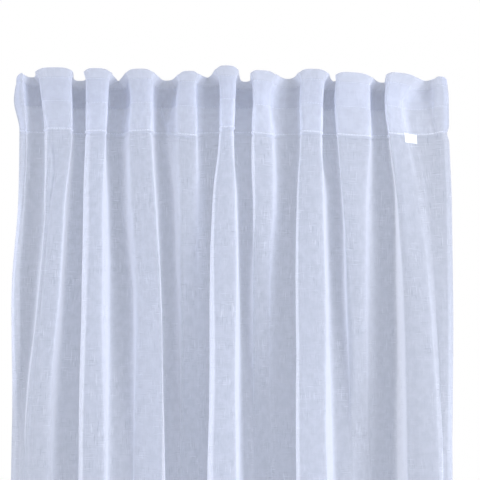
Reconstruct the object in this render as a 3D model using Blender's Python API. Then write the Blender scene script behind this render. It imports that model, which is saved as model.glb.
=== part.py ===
"""Sheer voile curtain, one panel hung in soft folds from its top edge.

The curtain faces -Y, its width runs along X and it hangs down -Z from the origin, which lies at
the middle of the top edge. Three sewn pieces make it: the voile panel with its hems and its
turned-down heading, the tape behind the heading, and a small blank label in the heading's seam.

A table gives each fold's place across the curtain and how far forward it stands. The folds'
front-to-back depth is worked out at every height, so that the cloth always has its full flat width.
"""

import bpy
import numpy as np

MM = 0.001

# ---------------------------------------------------------------------------------------------
# Driving sizes, in millimetres
# ---------------------------------------------------------------------------------------------
FLAT_WIDTH = 1400.0
DROP = 2450.0
CLOTH = 1.2
HEM_EXTRA = 0.8
SIDE_HEM = 8.0
HEADING = 98.0
FLARE = 20.0
WAIST = 45.0
BOTTOM_HEM = 60.0
HEM_STEP = 1.0

TAPE_TOP = 14.0
TAPE_WIDTH = 40.0
TAPE_THICK = 1.0
PIECE_GAP = 0.3

LABEL_LEFT = 267.5
LABEL_WIDTH = 20.5
LABEL_TOP = 96.0
LABEL_DROP = 15.0
LABEL_TILT = 3.5
LABEL_THICK = 0.6
LABEL_GAP = 0.6

# How far from a corner the cloth begins its bend before it, and ends it after it.
LEFT_BEND = (9.0, 14.0)
RIGHT_BEND = (32.0, 10.0)
HOLLOW_BEND = (16.0, 16.0)
LARGEST_BEND_SHARE = 0.92

# Depths below the top edge at which the fold tables give their values.
EDGE_LEVELS = (0.0, WAIST, HEADING, 203.0, 357.0, 511.0, 640.0, DROP)
STAND_LEVELS = (0.0, 130.0, 357.0, 640.0, DROP)
HEIGHT_LEVELS = (0.0, HEADING, 330.0)

# Where each fold's front begins and ends across the curtain, at the edge levels.
# name, then left x at each level, then right x at each level
FOLD_EDGES = (
    ("left_end",
     (-335, -340, -331, -331, -340, -338, -338, -350),
     (-325, -322, -320, -325, -332, -328, -325, -336)),
    ("fold_1",
     (-303, -298, -292, -291, -300, -311, -314, -322),
     (-249, -248, -247, -259, -268, -281, -287, -288)),
    ("fold_2",
     (-229, -228, -228, -231, -232, -234, -234, -230),
     (-191, -192, -195, -201, -202, -199, -197, -190)),
    ("fold_3",
     (-164, -158, -159, -157, -148, -147, -145, -140),
     (-125, -125, -125, -119, -107, -103, -101, -98)),
    ("fold_4",
     (-82, -86, -84, -80, -79, -79, -80, -78),
     (-54, -56, -55, -60, -60, -58, -58, -58)),
    ("fold_5",
     (-24, -20, -20, -30, -34, -36, -38, -36),
     (8, 7, 5, 4, 5, 5, 6, 12)),
    ("fold_6",
     (29, 30, 28, 29, 31, 36, 40, 46),
     (66, 55, 60, 62, 56, 56, 58, 64)),
    ("fold_7",
     (106, 104, 106, 99, 97, 97, 97, 102),
     (147, 143, 142, 140, 141, 142, 144, 152)),
    ("fold_8",
     (162, 158, 161, 170, 181, 188, 190, 190),
     (216, 215, 214, 206, 206, 208, 211, 212)),
    ("fold_9",
     (240, 236, 241, 255, 265, 267, 267, 268),
     (286, 262, 267, 283, 298, 307, 311, 322)),
    ("right_end",
     (318, 317, 318, 321, 325, 325, 322, 336),
     (335, 338, 338, 341, 341, 338, 336, 350)),
)

# How far forward each fold stands at the stand levels, from 0 at the general back of the folds to 1
# at their general front; a few folds stand out a little beyond these.
# name, then left side of the front, right side of the front, and the hollow to its right
FOLD_STANDS = (
    ("left_end", (.75, .66, .58, .66, .62), (.90, .60, .34, .74, .66), (.15, .38, .30, .76, .66)),
    ("fold_1", (.90, .90, .75, .74, .70), (1.0, 1.0, .82, .68, .66), (-.25, -.28, -.02, .44, .38)),
    ("fold_2", (.95, .95, .85, .85, .85), (1.0, 1.0, 1.0, .95, .95), (-.18, -.18, .06, .62, .60)),
    ("fold_3", (.80, .78, .62, .70, .70), (1.0, 1.0, .95, .95, .95), (-.20, -.12, -.06, -.07, .00)),
    ("fold_4", (.75, .75, .40, -.02, .14), (.95, .82, .28, .00, .12), (.20, .18, .14, -.04, .00)),
    ("fold_5", (.95, .95, .92, 1.0, .95), (1.05, 1.05, 1.0, 1.0, 1.0), (.05, .05, .08, .13, .18)),
    ("fold_6", (1.0, .98, .44, .06, .26), (.90, .88, .42, .05, .24), (.22, .18, .12, .05, .05)),
    ("fold_7", (.85, .90, .95, 1.0, .95), (1.0, 1.0, 1.05, 1.05, 1.0), (.00, .00, .15, .38, .38)),
    ("fold_8", (.95, .95, .56, .30, .36), (.85, .85, .52, .20, .32), (.00, .00, .00, .12, .14)),
    ("fold_9", (.95, .95, .88, .85, .85), (.78, .80, .92, .92, .90), (.20, .56, .72, .82, .80)),
    ("right_end", (.58, .62, .72, .82, .80), (.66, .66, .68, .78, .76), (0, 0, 0, 0, 0)),
)

# How far the cloth tucks in behind a fold's front on its way back: positive where the front hangs
# over the hollow, negative where the side slopes out in plain view. Each side, left and right, has
# a value for each tuck level: the flared top edge, the heading just below it, its foot, and on down.
TUCK_LEVELS = (0.0, FLARE, HEADING, 203.0, 357.0, 640.0)
FOLD_TUCKS = (
    ("left_end", (0, 0, 0, 0, 0, 0), (-4, 0, 0, -4, -4, -2)),
    ("fold_1", (-6, 6, 6, 2, -3, -4), (4, 8, 8, 1, -3, -18)),
    ("fold_2", (-3, 5, 4, 3, 3, 4), (-9, 8, 6, -7, -10, -9)),
    ("fold_3", (-15, -8, -14, -14, -12, -12), (-14, -3, -3, -2, 8, 11)),
    ("fold_4", (-14, -5, -22, -14, -10, -8), (-12, 2, 0, -12, -12, -12)),
    ("fold_5", (-12, 6, 3, 4, 9, 11), (-4, 9, 9, -4, -6, -9)),
    ("fold_6", (0, 8, 8, 6, -5, -14), (-14, -10, -8, -12, -12, -10)),
    ("fold_7", (-10, 6, 3, 6, 7, 10), (-10, 6, 6, -12, -12, -12)),
    ("fold_8", (4, 8, 8, 4, -6, -11), (-14, -3, -9, -17, -18, -16)),
    ("fold_9", (4, 8, 8, 4, -7, -10), (-14, -6, -11, -16, -12, -9)),
    ("right_end", (-8, -8, -8, -8, -6, -3), (0, 0, 0, 0, 0, 0)),
)

# The uneven top edge and heading seam: how far each fold's front and the hollow after it lie above
# (positive) or below the level, at the top edge and at the seam.
FOLD_HEIGHTS = (
    ("left_end", (-10, -5, -8), (1, 0, 0)),
    ("fold_1", (1, 1, -10), (3, 2, 2)),
    ("fold_2", (0, -1, -11), (-1, -1, 1)),
    ("fold_3", (0, -1, -10), (0, 0, 2)),
    ("fold_4", (-3, -4, -9), (-4, -8, 0)),
    ("fold_5", (4, 3, -14), (5, 5, 2)),
    ("fold_6", (-3, -4, -11), (-3, -6, -2)),
    ("fold_7", (0, -2, -13), (-1, -3, -1)),
    ("fold_8", (-5, -8, -15), (-6, -9, -3)),
    ("fold_9", (-5, -9, -14), (-4, -6, -4)),
    ("right_end", (-9, -12, -9), (-2, 0, 0)),
)

# Heights of the panel's rows of points, as depths below the top edge.
PANEL_ROWS = (
    0.0, TAPE_TOP, TAPE_TOP + TAPE_WIDTH, LABEL_TOP, HEADING - HEM_STEP, HEADING, LABEL_TOP + LABEL_DROP,
    140.0, 175.0, 215.0, 280.0, 357.0, 450.0, 560.0, 680.0, 1250.0, 1850.0,
    DROP - BOTTOM_HEM, DROP - BOTTOM_HEM + HEM_STEP, DROP,
)
TAPE_ROWS = (TAPE_TOP, TAPE_TOP + TAPE_WIDTH)

ROUND_STEPS = (1 / 6, 1 / 2, 5 / 6)
FIT_STEPS = 40
DEEPEST_FOLD = 260.0

VOILE_COLOR = (0.66, 0.70, 0.82)
TAPE_COLOR = (0.74, 0.77, 0.87)
LABEL_COLOR = (0.92, 0.93, 0.94)


# ---------------------------------------------------------------------------------------------
# The hung section
# ---------------------------------------------------------------------------------------------
def level_value(levels, values, depth):
    """Read a row of a table at a depth, on a smooth curve that never overshoots its values."""
    depth = min(max(depth, levels[0]), levels[-1])
    slopes = [(values[i + 1] - values[i]) / (levels[i + 1] - levels[i]) for i in range(len(levels) - 1)]
    tangents = [slopes[0]]
    for before, after in zip(slopes, slopes[1:]):
        tangents.append(0.0 if before * after <= 0 else 2 * before * after / (before + after))
    tangents.append(slopes[-1])
    i = max(k for k in range(len(levels) - 1) if levels[k] <= depth)
    span = levels[i + 1] - levels[i]
    t = (depth - levels[i]) / span
    return (
        values[i] * (1 + 2 * t) * (1 - t) ** 2
        + values[i + 1] * t * t * (3 - 2 * t)
        + tangents[i] * span * t * (1 - t) ** 2
        - tangents[i + 1] * span * t * t * (1 - t)
    )


def section_corners(depth):
    """The folds' corners at a depth: x, share forward, height offset, and the bend's two reaches."""
    corners = []
    last = len(FOLD_EDGES) - 1
    for i in range(len(FOLD_EDGES)):
        _, lefts, rights = FOLD_EDGES[i]
        _, left_stands, right_stands, hollow_stands = FOLD_STANDS[i]
        _, top_heights, seam_heights = FOLD_HEIGHTS[i]
        left_x = level_value(EDGE_LEVELS, lefts, depth)
        right_x = level_value(EDGE_LEVELS, rights, depth)
        heights = [
            level_value(HEIGHT_LEVELS, (top, seam, 0.0), depth)
            for top, seam in zip(top_heights, seam_heights)
        ]
        corners.append((left_x, level_value(STAND_LEVELS, left_stands, depth), heights[0], *LEFT_BEND))
        corners.append((right_x, level_value(STAND_LEVELS, right_stands, depth), heights[1], *RIGHT_BEND))
        if i < last:
            hollow = level_value(STAND_LEVELS, hollow_stands, depth)
            next_left = level_value(EDGE_LEVELS, FOLD_EDGES[i + 1][1], depth)
            tuck_right = level_value(TUCK_LEVELS, FOLD_TUCKS[i][2], depth)
            tuck_left = level_value(TUCK_LEVELS, FOLD_TUCKS[i + 1][1], depth)
            corners.append((right_x - tuck_right, hollow, heights[2], *HOLLOW_BEND))
            corners.append((next_left + tuck_left, hollow, heights[2], *HOLLOW_BEND))
    return np.array(corners)


def hem_points(edge, inner):
    """The cloth's side edge and the two points at the inner side of its hem, towards a corner."""
    along = (inner - edge) / np.hypot(*(inner - edge)[:2])
    return [edge, edge + along * (SIDE_HEM - HEM_STEP), edge + along * SIDE_HEM]


def rounded_section(corners, fold_depth):
    """Points (x, y, height offset) along the section, its corners rounded, for one fold depth."""
    spots = corners[:, :3].copy()
    spots[:, 1] = (0.5 - corners[:, 1]) * fold_depth
    runs = np.hypot(*np.diff(spots[:, :2], axis=0).T)
    reach = corners[:, 3:].copy()
    reach[0, 1] = reach[-1, 0] = SIDE_HEM + HEM_STEP
    reach[1, 0] = min(reach[1, 0], runs[0] - SIDE_HEM - 2 * HEM_STEP)
    reach[-2, 1] = min(reach[-2, 1], runs[-1] - SIDE_HEM - 2 * HEM_STEP)
    crowding = np.maximum(1, (reach[:-1, 1] + reach[1:, 0]) / runs / LARGEST_BEND_SHARE)
    ahead_share = reach[:-1, 1] / runs / crowding
    back_share = reach[1:, 0] / runs / crowding
    points = hem_points(spots[0], spots[1])
    for i in range(1, len(spots) - 1):
        start = spots[i] + (spots[i - 1] - spots[i]) * back_share[i - 1]
        end = spots[i] + (spots[i + 1] - spots[i]) * ahead_share[i]
        for t in ROUND_STEPS:
            points.append((1 - t) ** 2 * start + 2 * t * (1 - t) * spots[i] + t * t * end)
    points += hem_points(spots[-1], spots[-2])[::-1]
    return np.array(points)


def hung_section(depth):
    """The section at a depth, its folds just deep enough to take up the whole flat width."""
    corners = section_corners(depth)
    shallow, deep = 0.0, DEEPEST_FOLD
    for _ in range(FIT_STEPS):
        middle = (shallow + deep) / 2
        points = rounded_section(corners, middle)
        length = np.hypot(*np.diff(points[:, :2], axis=0).T).sum()
        if length < FLAT_WIDTH:
            shallow = middle
        else:
            deep = middle
    return rounded_section(corners, (shallow + deep) / 2)


def section_normals(points):
    """Unit normals of a section in plan, pointing to the back of the curtain."""
    along = np.gradient(points[:, :2], axis=0)
    normals = np.column_stack((-along[:, 1], along[:, 0]))
    return normals / np.linalg.norm(normals, axis=1)[:, None]


# ---------------------------------------------------------------------------------------------
# Solids
# ---------------------------------------------------------------------------------------------
def fabric(name, color, roughness):
    material = bpy.data.materials.new(name)
    material.use_nodes = True
    shader = material.node_tree.nodes["Principled BSDF"]
    shader.inputs["Base Color"].default_value = (*color, 1.0)
    shader.inputs["Roughness"].default_value = roughness
    shader.inputs["Metallic"].default_value = 0.0
    return material


def sheet_solid(name, front, back, material):
    """Close two equal grids of points, front and back, into one solid with a rim all round."""
    rows, columns = front.shape[:2]
    points = np.concatenate((front.reshape(-1, 3), back.reshape(-1, 3))) * MM

    def at(side, row, column):
        return (side * rows + row) * columns + column

    faces = []
    for r in range(rows - 1):
        for c in range(columns - 1):
            for side in (0, 1):
                high_left, high_right = at(side, r, c), at(side, r, c + 1)
                low_left, low_right = at(side, r + 1, c), at(side, r + 1, c + 1)
                triangles = [(high_left, low_left, low_right), (high_left, low_right, high_right)]
                faces += triangles if side == 0 else [t[::-1] for t in triangles]
    top_rim = [(0, c) for c in range(columns)]
    right_rim = [(r, columns - 1) for r in range(1, rows)]
    foot_rim = [(rows - 1, c) for c in range(columns - 2, -1, -1)]
    left_rim = [(r, 0) for r in range(rows - 2, 0, -1)]
    rim = top_rim + right_rim + foot_rim + left_rim
    for here, there in zip(rim, rim[1:] + rim[:1]):
        faces.append((at(0, *here), at(0, *there), at(1, *there), at(1, *here)))

    mesh = bpy.data.meshes.new(name)
    mesh.from_pydata([tuple(p) for p in points], [], faces)
    mesh.materials.append(material)
    mesh.shade_smooth()
    solid = bpy.data.objects.new(name, mesh)
    bpy.context.scene.collection.objects.link(solid)
    return solid


def set_off(points, normals, depth, distance):
    """Points of a section moved back by a distance along its normals, at their height."""
    spots = np.empty((len(points), 3))
    spots[:, :2] = points[:, :2] + normals * np.reshape(distance, (-1, 1))
    spots[:, 2] = points[:, 2] - depth
    return spots


def panel_back(depth, columns):
    """Distance from the section to the panel's back face: further where the cloth is hemmed."""
    back = np.full(columns, CLOTH / 2)
    in_heading = depth <= HEADING - HEM_STEP
    in_bottom_hem = depth >= DROP - BOTTOM_HEM + HEM_STEP
    if in_heading or in_bottom_hem:
        back[:] += HEM_EXTRA
    else:
        back[:2] += HEM_EXTRA
        back[-2:] += HEM_EXTRA
    return back


def make_panel():
    front, back = [], []
    for depth in PANEL_ROWS:
        points = hung_section(depth)
        normals = section_normals(points)
        front.append(set_off(points, normals, depth, np.full(len(points), -CLOTH / 2)))
        back.append(set_off(points, normals, depth, panel_back(depth, len(points))))
    voile = fabric("voile", VOILE_COLOR, 0.85)
    return sheet_solid("voile_panel", np.array(front), np.array(back), voile)


def make_heading_tape():
    """A band along the heading's back, between the side hems, that keeps to every fold."""
    near = CLOTH / 2 + HEM_EXTRA + PIECE_GAP
    front, back = [], []
    for depth in TAPE_ROWS:
        points = hung_section(depth)
        normals = section_normals(points)
        inside = slice(3, -3)
        width = len(points[inside])
        front.append(set_off(points[inside], normals[inside], depth, np.full(width, near)))
        back.append(set_off(points[inside], normals[inside], depth, np.full(width, near + TAPE_THICK)))
    tape = fabric("tape", TAPE_COLOR, 0.9)
    return sheet_solid("heading_tape", np.array(front), np.array(back), tape)


def front_column(points, x):
    """Column of a section, with its fraction, where the cloth's front run passes over an x."""
    normals = section_normals(points)
    for i in range(len(points) - 1):
        if points[i][0] <= x < points[i + 1][0] and normals[i][1] > 0.3:
            return i + (x - points[i][0]) / (points[i + 1][0] - points[i][0])
    raise ValueError("no front run of the cloth over this x")


def make_label():
    """A small blank label over the heading's lower seam, hanging a little lower on its right."""
    near = CLOTH / 2 + LABEL_GAP
    seam = hung_section(LABEL_TOP)
    start = front_column(seam, LABEL_LEFT)
    end = front_column(seam, LABEL_LEFT + LABEL_WIDTH)
    columns = [start, *range(int(start) + 1, int(end) + 1), end]
    front, back = [], []
    for depth in (LABEL_TOP, LABEL_TOP + LABEL_DROP):
        points = hung_section(depth)
        normals = section_normals(points)
        count = np.arange(len(points))
        spots = np.column_stack([np.interp(columns, count, points[:, k]) for k in range(3)])
        spots[:, 2] -= LABEL_TILT * ((spots[:, 0] - LABEL_LEFT) / LABEL_WIDTH - 0.5)
        facing = np.column_stack([np.interp(columns, count, normals[:, k]) for k in range(2)])
        front.append(set_off(spots, facing, depth, np.full(len(columns), -near - LABEL_THICK)))
        back.append(set_off(spots, facing, depth, np.full(len(columns), -near)))
    return sheet_solid("label", np.array(front), np.array(back), fabric("label", LABEL_COLOR, 0.7))


for old in list(bpy.data.objects):
    bpy.data.objects.remove(old, do_unlink=True)

make_panel()
make_heading_tape()
make_label()
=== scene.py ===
"""Sheer voile curtain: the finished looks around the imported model, seen from the photograph's angle."""

import bpy
import numpy as np
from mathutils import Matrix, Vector


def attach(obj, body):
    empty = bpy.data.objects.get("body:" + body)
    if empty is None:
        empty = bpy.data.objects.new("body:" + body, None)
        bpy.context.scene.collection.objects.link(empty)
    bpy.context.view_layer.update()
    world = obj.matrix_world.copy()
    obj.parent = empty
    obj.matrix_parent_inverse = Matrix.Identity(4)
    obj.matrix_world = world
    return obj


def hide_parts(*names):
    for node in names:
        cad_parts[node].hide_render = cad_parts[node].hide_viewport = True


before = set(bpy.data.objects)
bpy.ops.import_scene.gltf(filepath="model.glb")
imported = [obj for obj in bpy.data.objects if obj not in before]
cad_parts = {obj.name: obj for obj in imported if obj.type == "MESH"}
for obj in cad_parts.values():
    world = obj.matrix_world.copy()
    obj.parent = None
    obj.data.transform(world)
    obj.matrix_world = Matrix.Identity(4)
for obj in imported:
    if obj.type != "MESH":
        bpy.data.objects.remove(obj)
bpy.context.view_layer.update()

MM = 0.001

# ---------------------------------------------------------------------------------------------
# Driving sizes, in millimetres, as in the model
# ---------------------------------------------------------------------------------------------
FLAT_WIDTH = 1400.0
DROP = 2450.0
SIDE_HEM = 8.0
HEADING = 98.0
FLARE = 20.0
WAIST = 45.0
BOTTOM_HEM = 60.0
HEM_STEP = 1.0
TAPE_TOP = 14.0
TAPE_WIDTH = 40.0

LABEL_LEFT = 267.5
LABEL_WIDTH = 20.5
LABEL_TOP = 96.0
LABEL_DROP = 15.0
LABEL_TILT = 3.5
LABEL_SKEW = 2.0

# How far from a corner the cloth begins its bend before it, and ends it after it.
LEFT_BEND = (9.0, 14.0)
RIGHT_BEND = (32.0, 10.0)
HOLLOW_BEND = (16.0, 16.0)
LARGEST_BEND_SHARE = 0.92

# Depths below the top edge at which the fold tables give their values.
EDGE_LEVELS = (0.0, WAIST, HEADING, 203.0, 357.0, 511.0, 640.0, DROP)
STAND_LEVELS = (0.0, 130.0, 357.0, 640.0, DROP)
HEIGHT_LEVELS = (0.0, HEADING, 330.0)

# Where each fold's front begins and ends across the curtain, at the edge levels.
# name, then left x at each level, then right x at each level
FOLD_EDGES = (
    ("left_end",
     (-335, -340, -331, -331, -340, -338, -338, -350),
     (-325, -322, -320, -325, -332, -328, -325, -336)),
    ("fold_1",
     (-303, -298, -292, -291, -300, -311, -314, -322),
     (-249, -248, -247, -259, -268, -281, -287, -288)),
    ("fold_2",
     (-229, -228, -228, -231, -232, -234, -234, -230),
     (-191, -192, -195, -201, -202, -199, -197, -190)),
    ("fold_3",
     (-164, -158, -159, -157, -148, -147, -145, -140),
     (-125, -125, -125, -119, -107, -103, -101, -98)),
    ("fold_4",
     (-82, -86, -84, -80, -79, -79, -80, -78),
     (-54, -56, -55, -60, -60, -58, -58, -58)),
    ("fold_5",
     (-24, -20, -20, -30, -34, -36, -38, -36),
     (8, 7, 5, 4, 5, 5, 6, 12)),
    ("fold_6",
     (29, 30, 28, 29, 31, 36, 40, 46),
     (66, 55, 60, 62, 56, 56, 58, 64)),
    ("fold_7",
     (106, 104, 106, 99, 97, 97, 97, 102),
     (147, 143, 142, 140, 141, 142, 144, 152)),
    ("fold_8",
     (162, 158, 161, 170, 181, 188, 190, 190),
     (216, 215, 214, 206, 206, 208, 211, 212)),
    ("fold_9",
     (240, 236, 241, 255, 265, 267, 267, 268),
     (286, 262, 267, 283, 298, 307, 311, 322)),
    ("right_end",
     (318, 317, 318, 321, 325, 325, 322, 336),
     (335, 338, 338, 341, 341, 338, 336, 350)),
)

# How far forward each fold stands at the stand levels, from 0 at the general back of the folds to 1
# at their general front; a few folds stand out a little beyond these.
# name, then left side of the front, right side of the front, and the hollow to its right
FOLD_STANDS = (
    ("left_end", (.75, .66, .58, .66, .62), (.90, .60, .34, .74, .66), (.15, .38, .30, .76, .66)),
    ("fold_1", (.90, .90, .75, .74, .70), (1.0, 1.0, .82, .68, .66), (-.25, -.28, -.02, .44, .38)),
    ("fold_2", (.95, .95, .85, .85, .85), (1.0, 1.0, 1.0, .95, .95), (-.18, -.18, .06, .62, .60)),
    ("fold_3", (.80, .78, .62, .70, .70), (1.0, 1.0, .95, .95, .95), (-.20, -.12, -.06, -.07, .00)),
    ("fold_4", (.75, .75, .40, -.02, .14), (.95, .82, .28, .00, .12), (.20, .18, .14, -.04, .00)),
    ("fold_5", (.95, .95, .92, 1.0, .95), (1.05, 1.05, 1.0, 1.0, 1.0), (.05, .05, .08, .13, .18)),
    ("fold_6", (1.0, .98, .44, .06, .26), (.90, .88, .42, .05, .24), (.22, .18, .12, .05, .05)),
    ("fold_7", (.85, .90, .95, 1.0, .95), (1.0, 1.0, 1.05, 1.05, 1.0), (.00, .00, .15, .38, .38)),
    ("fold_8", (.95, .95, .56, .30, .36), (.85, .85, .52, .20, .32), (.00, .00, .00, .12, .14)),
    ("fold_9", (.95, .95, .88, .85, .85), (.78, .80, .92, .92, .90), (.20, .56, .72, .82, .80)),
    ("right_end", (.58, .62, .72, .82, .80), (.66, .66, .68, .78, .76), (0, 0, 0, 0, 0)),
)

# How far the cloth tucks in behind a fold's front on its way back: positive where the front hangs
# over the hollow, negative where the side slopes out in plain view. Each side, left and right, has
# a value for each tuck level: the flared top edge, the heading just below it, its foot, and on down.
TUCK_LEVELS = (0.0, FLARE, HEADING, 203.0, 357.0, 640.0)
FOLD_TUCKS = (
    ("left_end", (0, 0, 0, 0, 0, 0), (-4, 0, 0, -4, -4, -2)),
    ("fold_1", (-6, 6, 6, 2, -3, -4), (4, 8, 8, 1, -3, -18)),
    ("fold_2", (-3, 5, 4, 3, 3, 4), (-9, 8, 6, -7, -10, -9)),
    ("fold_3", (-15, -8, -14, -14, -12, -12), (-14, -3, -3, -2, 8, 11)),
    ("fold_4", (-14, -5, -22, -14, -10, -8), (-12, 2, 0, -12, -12, -12)),
    ("fold_5", (-12, 6, 3, 4, 9, 11), (-4, 9, 9, -4, -6, -9)),
    ("fold_6", (0, 8, 8, 6, -5, -14), (-14, -10, -8, -12, -12, -10)),
    ("fold_7", (-10, 6, 3, 6, 7, 10), (-10, 6, 6, -12, -12, -12)),
    ("fold_8", (4, 8, 8, 4, -6, -11), (-14, -3, -9, -17, -18, -16)),
    ("fold_9", (4, 8, 8, 4, -7, -10), (-14, -6, -11, -16, -12, -9)),
    ("right_end", (-8, -8, -8, -8, -6, -3), (0, 0, 0, 0, 0, 0)),
)

# The uneven top edge and heading seam: how far each fold's front and the hollow after it lie above
# (positive) or below the level, at the top edge and at the seam.
FOLD_HEIGHTS = (
    ("left_end", (-10, -5, -8), (1, 0, 0)),
    ("fold_1", (1, 1, -10), (3, 2, 2)),
    ("fold_2", (0, -1, -11), (-1, -1, 1)),
    ("fold_3", (0, -1, -10), (0, 0, 2)),
    ("fold_4", (-3, -4, -9), (-4, -8, 0)),
    ("fold_5", (4, 3, -14), (5, 5, 2)),
    ("fold_6", (-3, -4, -11), (-3, -6, -2)),
    ("fold_7", (0, -2, -13), (-1, -3, -1)),
    ("fold_8", (-5, -8, -15), (-6, -9, -3)),
    ("fold_9", (-5, -9, -14), (-4, -6, -4)),
    ("right_end", (-9, -12, -9), (-2, 0, 0)),
)

# The main creases: soft ridges (positive height) and troughs (negative) on the folds' fronts.
# name, points of the route as (x, depth), half width, height
CREASES = (
    ("left_end_roll", ((-323, 26), (-316, 50), (-314, 95), (-319, 126), (-324, 200)), 4.0, 2.0),
    ("fold_1_line", ((-280, 188), (-287, 260), (-297, 380), (-306, 510), (-310, 640)), 3.0, -3.0),
    ("fold_1_roll", ((-290, 104), (-284, 128), (-282, 150), (-285, 178), (-291, 215)), 3.0, 4.5),
    ("fold_1_shade", ((-283, 108), (-277, 135), (-275, 160), (-279, 188), (-285, 222)), 3.0, -3.5),
    ("fold_2_pinch", ((-217, 98), (-223, 119), (-229, 138)), 3.0, -2.2),
    ("fold_2_bulge", ((-208, 108), (-216, 140), (-214, 175)), 8.0, 1.8),
    ("fold_3_hollow", ((-152, 98), (-151, 157), (-146, 203), (-142, 280), (-139, 357)), 6.0, -1.6),
    ("fold_3_crossing", ((-149, 131), (-126, 129)), 2.5, -0.9),
    ("fold_3_tail", ((-160, 142), (-156, 203), (-152, 280), (-148, 357), (-143, 439)), 4.0, 1.4),
    ("fold_4_flap", ((-112, 48), (-103, 74), (-92, 100)), 4.0, 5.0),
    ("fold_4_flap_shade", ((-118, 66), (-110, 88), (-101, 104)), 4.0, -3.0),
    ("fold_4_line", ((-89, 111), (-86, 203), (-85, 296), (-82, 373)), 3.5, 1.5),
    ("fold_5_left", ((-14, 97), (-18, 126), (-23, 165), (-28, 203), (-30, 260)), 3.0, -1.2),
    ("fold_5_right", ((-2, 97), (1, 140), (3, 188)), 3.0, -0.9),
    ("fold_6_swell", ((44, 230), (50, 300), (52, 380)), 10.0, 2.2),
    ("fold_7_diagonal", ((136, 42), (126, 64), (114, 88)), 5.0, 1.0),
    ("fold_8_line", ((168, 111), (168, 203), (174, 280), (177, 357), (180, 403)), 3.5, 1.6),
    ("fold_8_hollow", ((179, 220), (184, 300), (188, 380)), 5.0, -1.6),
    ("fold_9_line", ((254, 118), (259, 203), (262, 280)), 3.0, -1.3),
    ("fold_9_hollow", ((264, 285), (272, 403), (275, 573), (276, 700)), 6.0, -2.2),
    ("fold_9_diagonal", ((257, 30), (267, 42), (279, 50)), 4.0, 1.5),
    ("fold_9_window", ((298, 30), (300, 48)), 14.0, -4.0),
    ("label_fold", ((286, 70), (288, 100)), 4.0, 1.5),
    ("label_fold_below", ((286, 122), (291, 149), (299, 211)), 5.0, 1.8),
    ("right_pinch", ((313, 80), (316, 100), (318, 114)), 3.0, -2.8),
)
CREASE_FADE = 0.25
CREASE_END = 0.15
CREASE_REACH = 3.0

# How far the top edge falls away from the middle of each fold's front to its two sides.
CREST_FALL = 4.0

# Uneven slack in the cloth: name, seed, size across, size along, height, and how much of it the
# heading keeps.
SLACK = (
    ("swell", 3, 36.0, 240.0, 2.6, 0.3),
    ("wrinkle", 5, 15.0, 110.0, 1.3, 0.6),
    ("crinkle", 8, 6.5, 26.0, 0.30, 1.0),
)
SLACK_FREE_DEPTH = 180.0

# Rows of stitching, as depths, with how far the cloth dips into them and how far it puckers there.
# name, depth, dip, pucker, radius of the thread
SEAMS = (
    ("tape_top", TAPE_TOP + 1.5, 0.8, 0.7, 0.14),
    ("tape_foot", TAPE_TOP + TAPE_WIDTH - 1.5, 0.5, 0.7, 0.12),
    ("heading", HEADING - 2.0, 0.8, 1.2, 0.25),
    ("bottom_hem", DROP - BOTTOM_HEM + 2.0, 0.4, 0.4, 0.22),
)
SEAM_DIP_REACH = 2.0
PUCKER_SEED = 11
PUCKER_ACROSS = 5.5
PUCKER_ALONG = 30.0
PUCKER_REACH = 16.0
HEM_ROLL = 1.2
HEM_ROLL_REACH = 2.2
ROLL_SEED = 17
ROLL_ACROSS = 14.0
ROLL_VARIES = 1.1
ROLL_LEAST = 0.1
ROLL_MOST = 2.0
TOP_FRILL = 1.6

NOTCH_DEPTH = 101.0
NOTCH_REACH = 8.0
NOTCH_IN = 3.0
NOTCH_FROM_X = 318.0

LAYER_GAP = 1.1
HEM_GAP = 0.4
TAPE_BACK = 1.9
STITCH_LENGTH = 3.6
STITCH_PITCH = 4.2
FRONT_FACING = 0.3

FIT_DEPTHS = (0, 20, 50, 98, 140, 175, 215, 280, 357, 450, 560, 680, 1250, 1850, DROP)
FIT_STEPS = 24
DEEPEST_FOLD = 260.0
THREAD_DEPTH = 300.0
ROUND_STEPS = np.linspace(0.06, 0.94, 8)
STRAIGHT_STEPS = (1 / 3, 2 / 3)
HEM_STEPS = (0.0, 0.34, 0.67, 1.0)

# Distances between the sheets' rows of points.
FIRST_ROW = 0.6
NEAR_SEAM = 5.0
NEAR_TOP = 3.0
SEAM_ROW_STEP = 1.3
HEADING_ROW_STEP = 3.6
HEADING_ROWS_END = HEADING + 40.0
PLAIN_ROW_STEP = 6.0
PLAIN_ROWS_END = 660.0
LOWER_ROW_STEP = 40.0
TURNED_HEM_ROWS = 5
TAPE_SHEET_ROWS = 15


# ---------------------------------------------------------------------------------------------
# Camera, light and stage
# ---------------------------------------------------------------------------------------------
PHOTO_SIDE = 480.0
MM_PER_PIXEL = 1.54
VIEW_DISTANCE = 2.6
EYE_Z = -0.42
FRONT_PLANE_Y = -0.028
FRAME_CENTRE = Vector((0.0123, FRONT_PLANE_Y, -0.2675))
SENSOR_MM = 36.0

OPEN_VIEW = (1.0, 1.0, 1.0)
# Painted shade: the blue-grey the camera sees through the sheer cloth, in place of the white backdrop and the
# lit floor.
SHADE_BEHIND_CLOTH = (0.345, 0.39, 0.51)
FLOOR_COLOR = (0.85, 0.85, 0.86)
FLOOR_HALF_SIDE = 6.0
FLOOR_BELOW_HEM = 12.0
AMBIENT_FRONT = (0.76, 0.76, 0.77)
AMBIENT_BACK = (0.34, 0.34, 0.35)
AMBIENT_TURN = 0.5


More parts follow.
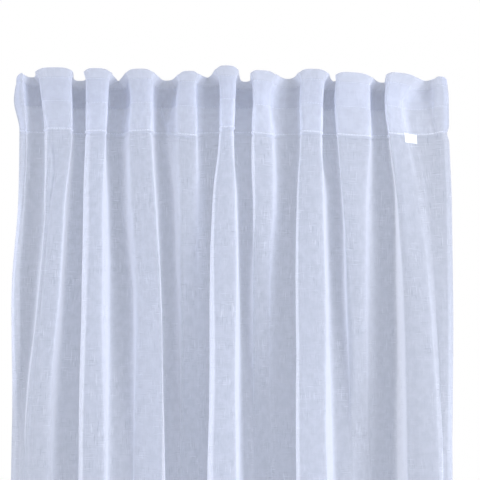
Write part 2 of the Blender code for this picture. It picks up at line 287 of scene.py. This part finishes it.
def make_camera():
    data = bpy.data.cameras.new("camera")
    data.sensor_width = SENSOR_MM
    seen_width = PHOTO_SIDE * MM_PER_PIXEL * MM
    camera = bpy.data.objects.new("camera", data)
    camera.location = (FRAME_CENTRE.x, FRAME_CENTRE.y - VIEW_DISTANCE, EYE_Z)
    to_centre = FRAME_CENTRE - camera.location
    data.lens = SENSOR_MM * to_centre.length / seen_width
    camera.rotation_mode = "QUATERNION"
    camera.rotation_quaternion = to_centre.to_track_quat("-Z", "Y")
    bpy.context.scene.collection.objects.link(camera)
    bpy.context.scene.camera = camera


def mixed(tree, share, first, second):
    """A mix of two shaders, by a number or by the share that another node gives."""
    made = tree.nodes.new("ShaderNodeMixShader")
    if isinstance(share, bpy.types.NodeSocket):
        tree.links.new(share, made.inputs[0])
    else:
        made.inputs[0].default_value = share
    tree.links.new(first.outputs[0], made.inputs[1])
    tree.links.new(second.outputs[0], made.inputs[2])
    return made


def seen_through_cloth(tree, path):
    """1 for what the camera sees through the cloth, and 0 for the rest and for all other light."""
    through = tree.nodes.new("ShaderNodeMath")
    through.operation = "MULTIPLY"
    through.use_clamp = True
    tree.links.new(path.outputs["Transparent Depth"], through.inputs[0])
    tree.links.new(path.outputs["Is Camera Ray"], through.inputs[1])
    return through.outputs[0]


def make_world():
    """White where the view is open, a painted blue-grey shade where it is seen through the cloth, and soft
    light from all round that is stronger from the front."""
    world = bpy.data.worlds.new("studio")
    world.use_nodes = True
    bpy.context.scene.world = world
    tree = world.node_tree
    tree.nodes.clear()
    out = tree.nodes.new("ShaderNodeOutputWorld")
    path = tree.nodes.new("ShaderNodeLightPath")

    def background(color):
        made = tree.nodes.new("ShaderNodeBackground")
        made.inputs["Color"].default_value = (*color, 1)
        return made

    place = tree.nodes.new("ShaderNodeTexCoord")
    split = tree.nodes.new("ShaderNodeSeparateXYZ")
    tree.links.new(place.outputs["Generated"], split.inputs[0])
    from_behind = tree.nodes.new("ShaderNodeMapRange")
    from_behind.interpolation_type = "SMOOTHSTEP"
    from_behind.inputs["From Min"].default_value = -AMBIENT_TURN
    from_behind.inputs["From Max"].default_value = AMBIENT_TURN
    tree.links.new(split.outputs["Y"], from_behind.inputs["Value"])
    ambient = mixed(tree, from_behind.outputs[0], background(AMBIENT_FRONT), background(AMBIENT_BACK))
    # Camera rays that pass through the cloth see the painted blue-grey shade; open views see white.
    seen = mixed(tree, seen_through_cloth(tree, path), background(OPEN_VIEW), background(SHADE_BEHIND_CLOTH))
    whole = mixed(tree, path.outputs["Is Camera Ray"], ambient, seen)
    tree.links.new(whole.outputs[0], out.inputs[0])


def area_light(name, place, target, size, watts, color):
    data = bpy.data.lights.new(name, "AREA")
    data.shape = "RECTANGLE"
    data.size, data.size_y = size
    data.energy = watts
    data.color = color
    light = bpy.data.objects.new(name, data)
    light.location = place
    light.rotation_mode = "QUATERNION"
    light.rotation_quaternion = (Vector(target) - Vector(place)).to_track_quat("-Z", "Y")
    bpy.context.scene.collection.objects.link(light)


def make_stage():
    """The floor below the hem. Seen through the cloth it glows with the same painted blue-grey shade as the
    world.
    """
    floor_mesh = bpy.data.meshes.new("floor")
    side, level = FLOOR_HALF_SIDE, -(DROP + FLOOR_BELOW_HEM) * MM
    corners = [(-side, -side, level), (side, -side, level), (side, side, level), (-side, side, level)]
    floor_mesh.from_pydata(corners, [], [(0, 1, 2, 3)])
    floor = bpy.data.objects.new("floor", floor_mesh)
    bpy.context.scene.collection.objects.link(floor)
    material = bpy.data.materials.new("floor")
    material.use_nodes = True
    tree = material.node_tree
    shader = tree.nodes["Principled BSDF"]
    shader.inputs["Base Color"].default_value = (*FLOOR_COLOR, 1)
    shader.inputs["Roughness"].default_value = 0.8
    path = tree.nodes.new("ShaderNodeLightPath")
    # A glow of the painted blue-grey shade, shown in place of the lit floor where the camera sees it through
    # the cloth.
    behind = tree.nodes.new("ShaderNodeEmission")
    behind.inputs["Color"].default_value = (*SHADE_BEHIND_CLOTH, 1)
    seen = mixed(tree, seen_through_cloth(tree, path), shader, behind)
    tree.links.new(seen.outputs[0], tree.nodes["Material Output"].inputs["Surface"])
    floor_mesh.materials.append(material)


# ---------------------------------------------------------------------------------------------
# The hung section
# ---------------------------------------------------------------------------------------------
def level_value(levels, values, depth):
    """Read a row of a table at a depth, on a smooth curve that never overshoots its values."""
    depth = min(max(depth, levels[0]), levels[-1])
    slopes = [(values[i + 1] - values[i]) / (levels[i + 1] - levels[i]) for i in range(len(levels) - 1)]
    tangents = [slopes[0]]
    for before, after in zip(slopes, slopes[1:]):
        tangents.append(0.0 if before * after <= 0 else 2 * before * after / (before + after))
    tangents.append(slopes[-1])
    i = max(k for k in range(len(levels) - 1) if levels[k] <= depth)
    span = levels[i + 1] - levels[i]
    t = (depth - levels[i]) / span
    return (
        values[i] * (1 + 2 * t) * (1 - t) ** 2
        + values[i + 1] * t * t * (3 - 2 * t)
        + tangents[i] * span * t * (1 - t) ** 2
        - tangents[i + 1] * span * t * t * (1 - t)
    )


def crest_fall(depth):
    """How far a front's sides lie below its middle at a depth: nothing from the tape on down."""
    return CREST_FALL * max(0.0, 1 - depth / TAPE_TOP)


def section_corners(depth):
    """The folds' corners at a depth: x, share forward, height offset, and the bend's two reaches."""
    corners = []
    last = len(FOLD_EDGES) - 1
    for i in range(len(FOLD_EDGES)):
        _, lefts, rights = FOLD_EDGES[i]
        _, left_stands, right_stands, hollow_stands = FOLD_STANDS[i]
        _, top_heights, seam_heights = FOLD_HEIGHTS[i]
        left_x = level_value(EDGE_LEVELS, lefts, depth)
        right_x = level_value(EDGE_LEVELS, rights, depth)
        heights = [
            level_value(HEIGHT_LEVELS, (top, seam, 0.0), depth)
            for top, seam in zip(top_heights, seam_heights)
        ]
        fall = crest_fall(depth)
        left_stand = level_value(STAND_LEVELS, left_stands, depth)
        right_stand = level_value(STAND_LEVELS, right_stands, depth)
        corners.append((left_x, left_stand, heights[0] - fall, *LEFT_BEND))
        corners.append((right_x, right_stand, heights[1] - fall, *RIGHT_BEND))
        if i < last:
            hollow = level_value(STAND_LEVELS, hollow_stands, depth)
            next_left = level_value(EDGE_LEVELS, FOLD_EDGES[i + 1][1], depth)
            tuck_right = level_value(TUCK_LEVELS, FOLD_TUCKS[i][2], depth)
            tuck_left = level_value(TUCK_LEVELS, FOLD_TUCKS[i + 1][1], depth)
            corners.append((right_x - tuck_right, hollow, heights[2], *HOLLOW_BEND))
            corners.append((next_left + tuck_left, hollow, heights[2], *HOLLOW_BEND))
    return np.array(corners)


def rounded_section(corners, fold_depth):
    """Points (x, y, height offset) along the section, its corners rounded, for one fold depth."""
    spots = corners[:, :3].copy()
    spots[:, 1] = (0.5 - corners[:, 1]) * fold_depth
    runs = np.hypot(*np.diff(spots[:, :2], axis=0).T)
    reach = corners[:, 3:].copy()
    reach[0, 1] = reach[-1, 0] = SIDE_HEM + HEM_STEP
    reach[1, 0] = min(reach[1, 0], runs[0] - SIDE_HEM - 2 * HEM_STEP)
    reach[-2, 1] = min(reach[-2, 1], runs[-1] - SIDE_HEM - 2 * HEM_STEP)
    crowding = np.maximum(1, (reach[:-1, 1] + reach[1:, 0]) / runs / LARGEST_BEND_SHARE)
    ahead_share = (reach[:-1, 1] / runs / crowding)[1:, None]
    back_share = (reach[1:, 0] / runs / crowding)[:-1, None]
    starts = spots[1:-1] + (spots[:-2] - spots[1:-1]) * back_share
    ends = spots[1:-1] + (spots[2:] - spots[1:-1]) * ahead_share
    t = np.asarray(ROUND_STEPS)[:, None, None]
    bends = ((1 - t) ** 2 * starts + 2 * t * (1 - t) * spots[1:-1] + t * t * ends).transpose(1, 0, 2)
    left_hem = (spots[1] - spots[0]) * SIDE_HEM / runs[0]
    right_hem = (spots[-2] - spots[-1]) * SIDE_HEM / runs[-1]
    points = [np.array([spots[0] + left_hem * k for k in HEM_STEPS])]
    for here, there in zip(bends, bends[1:]):
        points.append(here)
        points.append(np.array([here[-1] + (there[0] - here[-1]) * k for k in STRAIGHT_STEPS]))
    points.append(bends[-1])
    points.append(np.array([spots[-1] + right_hem * k for k in HEM_STEPS[::-1]]))
    return np.concatenate(points)


def fitted_fold_depth(depth):
    """Fold depth at which the section's length is the whole flat width."""
    corners = section_corners(depth)
    shallow, deep = 0.0, DEEPEST_FOLD
    for _ in range(FIT_STEPS):
        middle = (shallow + deep) / 2
        points = rounded_section(corners, middle)
        if np.hypot(*np.diff(points[:, :2], axis=0).T).sum() < FLAT_WIDTH:
            shallow = middle
        else:
            deep = middle
    return (shallow + deep) / 2


FOLD_DEPTHS = [fitted_fold_depth(depth) for depth in FIT_DEPTHS]


def thread_run():
    """Place of each column of points across the flat cloth, the same at every depth, so that the
    threads and the wrinkles follow the folds down."""
    fold_depth = level_value(FIT_DEPTHS, FOLD_DEPTHS, THREAD_DEPTH)
    points = rounded_section(section_corners(THREAD_DEPTH), fold_depth)
    return np.concatenate(([0], np.cumsum(np.hypot(*np.diff(points[:, :2], axis=0).T))))


THREADS = thread_run()


def section_normals(points):
    """Unit normals of a section in plan, pointing to the back of the curtain."""
    along = np.gradient(points[:, :2], axis=0)
    normals = np.column_stack((-along[:, 1], along[:, 0]))
    return normals / np.linalg.norm(normals, axis=1)[:, None]


# ---------------------------------------------------------------------------------------------
# Creases, slack and puckers
# ---------------------------------------------------------------------------------------------
def smooth_step(value):
    value = np.clip(value, 0.0, 1.0)
    return value * value * (3 - 2 * value)


def crease_relief(x, depth):
    """How far the listed creases push the cloth forward, for points at one depth."""
    relief = np.zeros_like(x)
    for _, route, half_width, height in CREASES:
        route = np.array(route, dtype=float)
        reach = CREASE_REACH * half_width
        if depth.max() < route[:, 1].min() - reach or depth.min() > route[:, 1].max() + reach:
            continue
        steps = np.diff(route, axis=0)
        lengths = np.hypot(*steps.T)
        ends = np.concatenate(([0], np.cumsum(lengths)))
        best = np.full_like(x, np.inf)
        along = np.zeros_like(x)
        for start, step, length, before in zip(route, steps, lengths, ends):
            t = np.clip(((x - start[0]) * step[0] + (depth - start[1]) * step[1]) / length**2, 0, 1)
            distance = np.hypot(x - start[0] - t * step[0], depth - start[1] - t * step[1])
            nearer = distance < best
            best = np.where(nearer, distance, best)
            along = np.where(nearer, (before + t * length) / ends[-1], along)
        fade = smooth_step(np.minimum(along, 1 - along) / CREASE_FADE + CREASE_END)
        relief += height * fade * np.exp(-((best / half_width) ** 2))
    return relief


def spline_weights(t):
    """Weights of four neighbouring values on a smooth curve between the middle two."""
    return np.array([(1 - t) ** 3, 3 * t**3 - 6 * t**2 + 4, -3 * t**3 + 3 * t**2 + 3 * t + 1, t**3]) / 6


def soft_noise(seed, across, along):
    """A smooth, seeded height field over the flat cloth, about -1 to 1."""
    rows, columns = int(DROP / along) + 6, int(FLAT_WIDTH / across) + 6
    values = np.random.default_rng(seed).standard_normal((rows, columns))

    def height(run, depth):
        row = int(max(depth, 0) // along)
        blended = spline_weights(max(depth, 0) / along - row) @ values[row:row + 4]
        column = np.clip(np.floor(run / across).astype(int), 0, columns - 5)
        weights = spline_weights(run / across - column)
        return sum(weights[k] * blended[column + k] for k in range(4))

    return height


SLACK_FIELDS = [
    (soft_noise(seed, across, along), height, kept)
    for _, seed, across, along, height, kept in SLACK
]
PUCKER_FIELD = soft_noise(PUCKER_SEED, PUCKER_ACROSS, PUCKER_ALONG)
ROLL_FIELD = soft_noise(ROLL_SEED, ROLL_ACROSS, HEADING)


def slack_relief(run, depth):
    """How far slack, seams, the heading's rolled foot and the top edge push the cloth forward."""
    free = smooth_step((depth - HEADING) / SLACK_FREE_DEPTH)
    relief = sum(
        field(run, depth) * height * (kept + (1 - kept) * free)
        for field, height, kept in SLACK_FIELDS
    )
    for _, seam, dip, pucker, _ in SEAMS:
        off = depth - seam
        relief = relief - dip * np.exp(-((off / SEAM_DIP_REACH) ** 2))
        relief = relief + pucker * np.exp(-abs(off) / PUCKER_REACH) * PUCKER_FIELD(run, depth)
    roll = HEM_ROLL * np.exp(-(((depth - HEADING) / HEM_ROLL_REACH) ** 2))
    groove = HEM_ROLL * np.exp(-(((depth - HEADING - 2 * HEM_ROLL_REACH) / HEM_ROLL_REACH) ** 2))
    frill = TOP_FRILL * smooth_step(1 - depth / TAPE_TOP)
    uneven = np.clip(1 + ROLL_VARIES * ROLL_FIELD(run, depth), ROLL_LEAST, ROLL_MOST)
    return relief + (roll - groove) * uneven + frill


def crest_arch(x, depth):
    """How far the cloth rises from the sides of each fold's front to its middle, at a depth."""
    arch = np.zeros_like(x)
    for _, lefts, rights in FOLD_EDGES:
        left_x = level_value(EDGE_LEVELS, lefts, depth)
        right_x = level_value(EDGE_LEVELS, rights, depth)
        from_middle = np.clip((2 * x - left_x - right_x) / (right_x - left_x), -1, 1)
        arch += 1 - from_middle**4
    return crest_fall(depth) * arch


def hung_surface(depth):
    """The cloth's middle line at a depth with all its relief: points, back normals, and its run."""
    points = rounded_section(section_corners(depth), level_value(FIT_DEPTHS, FOLD_DEPTHS, depth))
    normals = section_normals(points)
    points[:, 2] += crest_arch(points[:, 0], depth) * np.clip(normals[:, 1], 0, 1)
    run = np.concatenate(([0], np.cumsum(np.hypot(*np.diff(points[:, :2], axis=0).T))))
    relief = slack_relief(THREADS, depth)
    relief += crease_relief(points[:, 0], depth - points[:, 2]) * np.clip(normals[:, 1], 0, 1)
    points[:, :2] -= normals * relief[:, None]
    pull = np.exp(-(((depth - NOTCH_DEPTH) / NOTCH_REACH) ** 2))
    inward = smooth_step((points[:, 0] - NOTCH_FROM_X) / (FOLD_EDGES[-1][2][1] - NOTCH_FROM_X))
    points[:, 0] -= NOTCH_IN * pull * inward
    points[:, 2] -= depth
    return points, section_normals(points), run


# ---------------------------------------------------------------------------------------------
# Sheets
# ---------------------------------------------------------------------------------------------
def grid_mesh(name, points, weave, material):
    """A smooth quad mesh on a grid of points, with its threads' run as a UV map in metres."""
    rows, columns = points.shape[:2]
    index = np.arange(rows * columns).reshape(rows, columns)
    quads = np.stack((index[:-1, :-1], index[1:, :-1], index[1:, 1:], index[:-1, 1:]), axis=-1)
    mesh = bpy.data.meshes.new(name)
    mesh.from_pydata((points * MM).reshape(-1, 3).tolist(), [], quads.reshape(-1, 4).tolist())
    layer = mesh.uv_layers.new(name="weave")
    corner_vertex = np.empty(len(mesh.loops), dtype=np.int32)
    mesh.loops.foreach_get("vertex_index", corner_vertex)
    layer.uv.foreach_set("vector", (weave * MM).reshape(-1, 2)[corner_vertex].astype(np.float32).ravel())
    mesh.materials.append(material)
    mesh.shade_smooth()
    piece = bpy.data.objects.new(name, mesh)
    bpy.context.scene.collection.objects.link(piece)
    return piece


def row_depths(start, end):
    """Depths of the rows of points: close at the seams and the top, wider down the plain cloth."""
    depths = [start]
    while depths[-1] < end:
        here = depths[-1]
        to_seam = min(abs(here - seam[1]) for seam in SEAMS)
        if to_seam < NEAR_SEAM or here < NEAR_TOP:
            step = SEAM_ROW_STEP
        elif here < HEADING_ROWS_END:
            step = HEADING_ROW_STEP
        elif here < PLAIN_ROWS_END:
            step = PLAIN_ROW_STEP
        else:
            step = LOWER_ROW_STEP
        depths.append(min(end, here + step))
    return depths


def sheet_row(depth, offset, hem_gap):
    """One row of the panel: the side hem turned behind the left edge, the cloth, the right side hem."""
    points, normals, _ = hung_surface(depth)
    count = len(HEM_STEPS)
    columns = np.concatenate((np.arange(count)[::-1], np.arange(len(points)), -1 - np.arange(count)))
    offsets = np.full(len(columns), offset)
    offsets[:count] += hem_gap
    offsets[-count:] += hem_gap
    spots = points[columns]
    spots[:, :2] += normals[columns] * offsets[:, None]
    across = THREADS[columns]
    across[:count] *= -1
    across[-count:] = 2 * THREADS[-1] - across[-count:]
    return spots, np.column_stack((across, np.full(len(columns), depth)))


def make_voile(material):
    """The panel: its turned heading behind the top, over the top edge, down the front, and the hem."""
    turned_up = np.linspace(DROP - FIRST_ROW, DROP - BOTTOM_HEM, TURNED_HEM_ROWS)
    rows = [(depth, LAYER_GAP, -HEM_GAP) for depth in row_depths(FIRST_ROW, HEADING)[::-2]]
    rows.append((0.0, LAYER_GAP * 0.5, 0.0))
    rows += [(depth, 0.0, HEM_GAP) for depth in row_depths(FIRST_ROW, DROP)]
    rows += [(depth, LAYER_GAP, -HEM_GAP) for depth in turned_up]
    spots, weave = zip(*(sheet_row(*row) for row in rows))
    return grid_mesh("voile", np.array(spots), np.array(weave), material)


def make_tape(material):
    """The tape behind the turned heading, from side hem to side hem."""
    spots, weave = [], []
    inside = slice(len(HEM_STEPS), -len(HEM_STEPS))
    for depth in np.linspace(TAPE_TOP, TAPE_TOP + TAPE_WIDTH, TAPE_SHEET_ROWS):
        points, normals, _ = hung_surface(depth)
        points[:, :2] += normals * TAPE_BACK
        spots.append(points[inside])
        weave.append(np.column_stack((THREADS[inside], np.full(len(points[inside]), depth))))
    return grid_mesh("tape", np.array(spots), np.array(weave), material)


def front_point(x, depth):
    """Point and back normal of the cloth where its front run passes over an x at a depth."""
    points, normals, _ = hung_surface(depth)
    for i in range(len(points) - 1):
        if points[i][0] <= x < points[i + 1][0] and normals[i][1] > FRONT_FACING:
            t = (x - points[i][0]) / (points[i + 1][0] - points[i][0])
            return points[i] * (1 - t) + points[i + 1] * t, normals[i] * (1 - t) + normals[i + 1] * t
    raise ValueError("no front run of the cloth over this x")


LABEL_ROWS = 12
LABEL_COLUMNS = 11
LABEL_NEAR = 0.55
LABEL_FOLD = 0.7
LABEL_CURL = 1.3
LABEL_HELD = 0.35
LABEL_FREED = 2.0


def make_label(material):
    """A blank tag folded in half, its top edge caught in the heading's seam, its foot curling forward."""
    spots, weave = [], []
    down = np.linspace(0, 1, LABEL_ROWS)
    layers = [(b, LABEL_NEAR + LABEL_FOLD) for b in down] + [(b, LABEL_NEAR) for b in down[::-1]]
    for row, (b, stand_off) in enumerate(layers):
        line, marks = [], []
        for a in np.linspace(0, 1, LABEL_COLUMNS):
            tilt = LABEL_TILT + LABEL_SKEW * (0.5 - b)
            depth = LABEL_TOP + tilt * (a - 0.5) + LABEL_DROP * b
            spot, normal = front_point(LABEL_LEFT + LABEL_WIDTH * a, depth)
            away = stand_off * min(1.0, LABEL_HELD + LABEL_FREED * b) + LABEL_CURL * b * b
            spot[:2] -= normal * away
            line.append(spot)
            marks.append((LABEL_WIDTH * a, LABEL_DROP * (b if row < LABEL_ROWS else 2 - b)))
        spots.append(line)
        weave.append(marks)
    return grid_mesh("label_tag", np.array(spots), np.array(weave), material)


STITCH_SIDES = 5
TAPE_STITCH_BACK = TAPE_BACK + 0.1
STITCH_STANDS_OUT = 0.5

# Rings of a stitch: place along it from -1 to 1, share of the thread's radius, lift off the cloth.
STITCH_RINGS = ((-1.0, 0.55, -0.10), (0.0, 1.0, 0.12), (1.0, 0.55, -0.10))


def make_stitching(material):
    """All the rows of stitching as one mesh of short threads, on the front and on the back."""
    spots, faces = [], []
    for name, depth, _, _, radius in SEAMS:
        points, normals, run = hung_surface(depth)
        behind = TAPE_STITCH_BACK if name.startswith("tape") else LAYER_GAP
        for offset, side in ((0.0, -1.0), (behind, 1.0)):
            centres = np.arange(SIDE_HEM + STITCH_PITCH, run[-1] - SIDE_HEM, STITCH_PITCH)
            for centre in centres:
                first = len(spots)
                for place, size, lift in STITCH_RINGS:
                    at = centre + place * STITCH_LENGTH / 2
                    middle = np.array([np.interp(at, run, points[:, k]) for k in range(3)])
                    normal = np.array([np.interp(at, run, normals[:, k]) for k in range(2)] + [0.0])
                    middle += normal * (offset + side * (radius * STITCH_STANDS_OUT + lift))
                    for corner in range(STITCH_SIDES):
                        turn = 2 * np.pi * corner / STITCH_SIDES
                        ray = np.cos(turn) * normal + np.sin(turn) * np.array([0.0, 0.0, 1.0])
                        spots.append(middle + ray * radius * size)
                for ring in range(len(STITCH_RINGS) - 1):
                    for corner in range(STITCH_SIDES):
                        here = first + ring * STITCH_SIDES + corner
                        beside = first + ring * STITCH_SIDES + (corner + 1) % STITCH_SIDES
                        faces.append((here, beside, beside + STITCH_SIDES, here + STITCH_SIDES))
                last = first + (len(STITCH_RINGS) - 1) * STITCH_SIDES
                faces.append(tuple(range(first + STITCH_SIDES - 1, first - 1, -1)))
                faces.append(tuple(range(last, last + STITCH_SIDES)))
    mesh = bpy.data.meshes.new("stitching")
    mesh.from_pydata((np.array(spots) * MM).tolist(), [], faces)
    mesh.materials.append(material)
    mesh.shade_smooth()
    piece = bpy.data.objects.new("stitching", mesh)
    bpy.context.scene.collection.objects.link(piece)
    return piece


# ---------------------------------------------------------------------------------------------
# Materials
# ---------------------------------------------------------------------------------------------
VOILE_COLOR = (0.87, 0.90, 0.98, 1)
SLUB_COLOR = (0.90, 0.93, 0.99, 1)
THIN_COLOR = (0.68, 0.72, 0.84, 1)

# Share of the voile that is open between its threads, and what adds to it or takes from it.
OPENNESS = 0.50
SLUBS_CLOSE = -0.22
THIN_OPENS = 0.14
MOTTLE_OPENS = 0.03
HEADING_MORE_OPEN = 0.085
CREST_LESS_OPEN = 0.12
EDGE_ON = 1.05
GLOW = 0.5

TAPE_OPENNESS = 0.35
# The darker tape tone is the ribs' dark and also painted shade: darker than the tape's own white, for the
# shade it lies in between the cloth layers.
TAPE_RIB_AND_SHADE_DARK = (0.63, 0.66, 0.74, 1)
TAPE_LIGHT = (0.75, 0.78, 0.86, 1)


class Nodes:
    """Small helper that adds nodes to a material and links what it is given."""

    def __init__(self, name):
        self.material = bpy.data.materials.new(name)
        self.material.use_nodes = True
        self.tree = self.material.node_tree
        self.tree.nodes.clear()

    def set(self, socket, value):
        if isinstance(value, bpy.types.NodeSocket):
            self.tree.links.new(value, socket)
        else:
            socket.default_value = value

    def add(self, kind, **inputs):
        made = self.tree.nodes.new("ShaderNode" + kind)
        for name, value in inputs.items():
            self.set(made.inputs[name.replace("_", " ")], value)
        return made

    def math(self, operation, first, second=0.0, clamp=False):
        made = self.tree.nodes.new("ShaderNodeMath")
        made.operation = operation
        made.use_clamp = clamp
        self.set(made.inputs[0], first)
        self.set(made.inputs[1], second)
        return made.outputs[0]

    def grain(self, across, along, detail=2.0):
        """Noise on the weave's run, with features of a given size in millimetres."""
        weave = self.add("UVMap")
        weave.uv_map = "weave"
        mapping = self.add("Mapping", Vector=weave.outputs[0], Scale=(1 / (across * MM), 1 / (along * MM), 1))
        noise = self.add("TexNoise", Vector=mapping.outputs[0], Scale=1.0, Detail=detail, Roughness=0.55)
        return noise.outputs["Fac"]

    def depth_ramp(self, low, high, to_low, to_high):
        """A smooth change between two depths down the cloth, in millimetres."""
        weave = self.add("UVMap")
        weave.uv_map = "weave"
        split = self.add("SeparateXYZ", Vector=weave.outputs[0])
        return self.ramp(split.outputs["Y"], low * MM, high * MM, to_low, to_high)

    def ramp(self, value, low, high, to_low=0.0, to_high=1.0):
        made = self.add("MapRange", Value=value)
        made.interpolation_type = "SMOOTHSTEP"
        for name, number in (("From Min", low), ("From Max", high), ("To Min", to_low), ("To Max", to_high)):
            made.inputs[name].default_value = number
        return made.outputs[0]

    def mix(self, share, first, second):
        made = self.tree.nodes.new("ShaderNodeMix")
        made.data_type = "RGBA"
        self.set(made.inputs["Factor"], share)
        self.set(made.inputs["A"], first)
        self.set(made.inputs["B"], second)
        return made.outputs["Result"]

    def sheer(self, cloth, color, open_share):
        """Threads that reflect and pass on light, with clear gaps between them."""
        glow = self.add("BsdfTranslucent", Color=color)
        threads = mixed(self.tree, GLOW, cloth, glow)
        clear = self.add("BsdfTransparent", Color=(1, 1, 1, 1))
        return mixed(self.tree, open_share, threads, clear)

    def finish(self, shader):
        out = self.add("OutputMaterial")
        self.tree.links.new(shader.outputs[0], out.inputs["Surface"])
        return self.material


def voile_material():
    """Sheer slubby plain weave. Its gaps close up where the cloth is seen at a slant."""
    n = Nodes("voile")
    clumps = n.ramp(n.grain(45, 60), 0.38, 0.66, 0.15, 1.0)
    warp_slubs = n.ramp(n.grain(1.5, 26, 1.0), 0.58, 0.74)
    weft_slubs = n.ramp(n.grain(24, 1.5, 1.0), 0.60, 0.76)
    single = n.depth_ramp(HEADING - 2, HEADING + 3, 0.25, 0.7)
    clumps = n.math("MULTIPLY", clumps, single)
    slubs = n.math("MULTIPLY", n.math("MAXIMUM", warp_slubs, weft_slubs), clumps)
    thin_warp = n.ramp(n.grain(1.6, 20, 1.0), 0.42, 0.28)
    thin_weft = n.ramp(n.grain(18, 1.6, 1.0), 0.40, 0.26)
    thin = n.math("MULTIPLY", n.math("MAXIMUM", thin_warp, thin_weft), clumps)
    mottle = n.ramp(n.grain(11, 16), 0.3, 0.7, -1.0, 1.0)
    threads = n.math("ADD", n.grain(0.7, 5), n.grain(5, 0.7))

    openness = n.math("ADD", n.math("MULTIPLY", slubs, SLUBS_CLOSE), OPENNESS)
    openness = n.math("ADD", openness, n.math("MULTIPLY", thin, THIN_OPENS))
    openness = n.math("ADD", openness, n.math("MULTIPLY", mottle, MOTTLE_OPENS))
    heading = n.depth_ramp(HEADING - 4, HEADING - 1, HEADING_MORE_OPEN, 0.0)
    crest = n.depth_ramp(TAPE_TOP - 1, TAPE_TOP + 2, CREST_LESS_OPEN, 0.0)
    openness = n.math("SUBTRACT", n.math("ADD", openness, heading), crest)
    facing = n.add("LayerWeight", Blend=0.5)
    slant = n.math("DIVIDE", 1.0, n.math("SUBTRACT", EDGE_ON, facing.outputs["Facing"]))
    gaps = n.math("POWER", openness, slant)

    color = n.mix(slubs, VOILE_COLOR, SLUB_COLOR)
    color = n.mix(n.math("MULTIPLY", thin, 0.3), color, THIN_COLOR)
    height = n.math("ADD", n.math("MULTIPLY", slubs, 0.6), n.math("MULTIPLY", threads, 0.5))
    bump = n.add("Bump", Height=height, Strength=0.35, Distance=0.0004)
    cloth = n.add("BsdfPrincipled", Base_Color=color, Roughness=0.85, Normal=bump.outputs[0])
    n.set(cloth.inputs["Sheen Weight"], 0.35)
    n.set(cloth.inputs["Sheen Roughness"], 0.45)
    return n.finish(n.sheer(cloth, color, gaps))


def tape_material():
    """Ribbed woven tape, a little worn, that lets some light through. Its darker tone is partly painted
    shade.
    """
    n = Nodes("tape")
    ribs = n.grain(0.9, 12)
    cords = n.ramp(n.grain(60, 2.6, 0.0), 0.45, 0.60)
    worn = n.grain(20, 14)
    # Ribs and worn patches lean to the darker tone, which is partly painted shade.
    color = n.mix(ribs, TAPE_RIB_AND_SHADE_DARK, TAPE_LIGHT)
    color = n.mix(n.math("MULTIPLY", worn, 0.3), color, TAPE_RIB_AND_SHADE_DARK)
    height = n.math("ADD", ribs, cords)
    bump = n.add("Bump", Height=height, Strength=0.5, Distance=0.0005)
    cloth = n.add("BsdfPrincipled", Base_Color=color, Roughness=0.9, Normal=bump.outputs[0])
    n.set(cloth.inputs["Sheen Weight"], 0.2)
    return n.finish(n.sheer(cloth, color, TAPE_OPENNESS))


def label_material():
    """Smooth woven satin, blank."""
    n = Nodes("label")
    satin = n.grain(9, 0.35)
    color = n.mix(satin, (0.90, 0.93, 0.96, 1), (0.97, 0.98, 1.0, 1))
    bump = n.add("Bump", Height=satin, Strength=0.25, Distance=0.0002)
    cloth = n.add("BsdfPrincipled", Base_Color=color, Roughness=0.38, Normal=bump.outputs[0])
    n.set(cloth.inputs["Sheen Weight"], 0.3)
    return n.finish(cloth)


def thread_material():
    """Sewing thread, slightly uneven in tone."""
    n = Nodes("thread")
    place = n.add("TexCoord")
    noise = n.add("TexNoise", Vector=place.outputs["Object"], Scale=900.0, Detail=1.0)
    color = n.mix(noise.outputs["Fac"], (0.78, 0.82, 0.92, 1), (0.94, 0.96, 1.0, 1))
    bump = n.add("Bump", Height=noise.outputs["Fac"], Strength=0.3, Distance=0.0001)
    thread = n.add("BsdfPrincipled", Base_Color=color, Roughness=0.6, Normal=bump.outputs[0])
    return n.finish(thread)


# ---------------------------------------------------------------------------------------------
# The whole
# ---------------------------------------------------------------------------------------------
make_camera()
make_world()
make_stage()
area_light("right_side", (1.55, -1.45, -0.3), (0, 0, -0.6), (1.2, 2.2), 43, (0.87, 0.90, 1.0))
area_light("left_side", (-3.0, -1.7, -0.3), (0, 0, -0.6), (1.1, 2.4), 41, (0.86, 0.89, 1.0))

voile = make_voile(voile_material())
tape = make_tape(tape_material())
label = make_label(label_material())
stitching = make_stitching(thread_material())
for piece, node_name, slot in (
    (voile, "voile_panel", "voile"),
    (tape, "heading_tape", "tape"),
    (label, "label", "label"),
):
    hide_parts(node_name)
    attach(piece, "root")
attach(stitching, "root")

bpy.context.scene.view_settings.view_transform = "Standard"
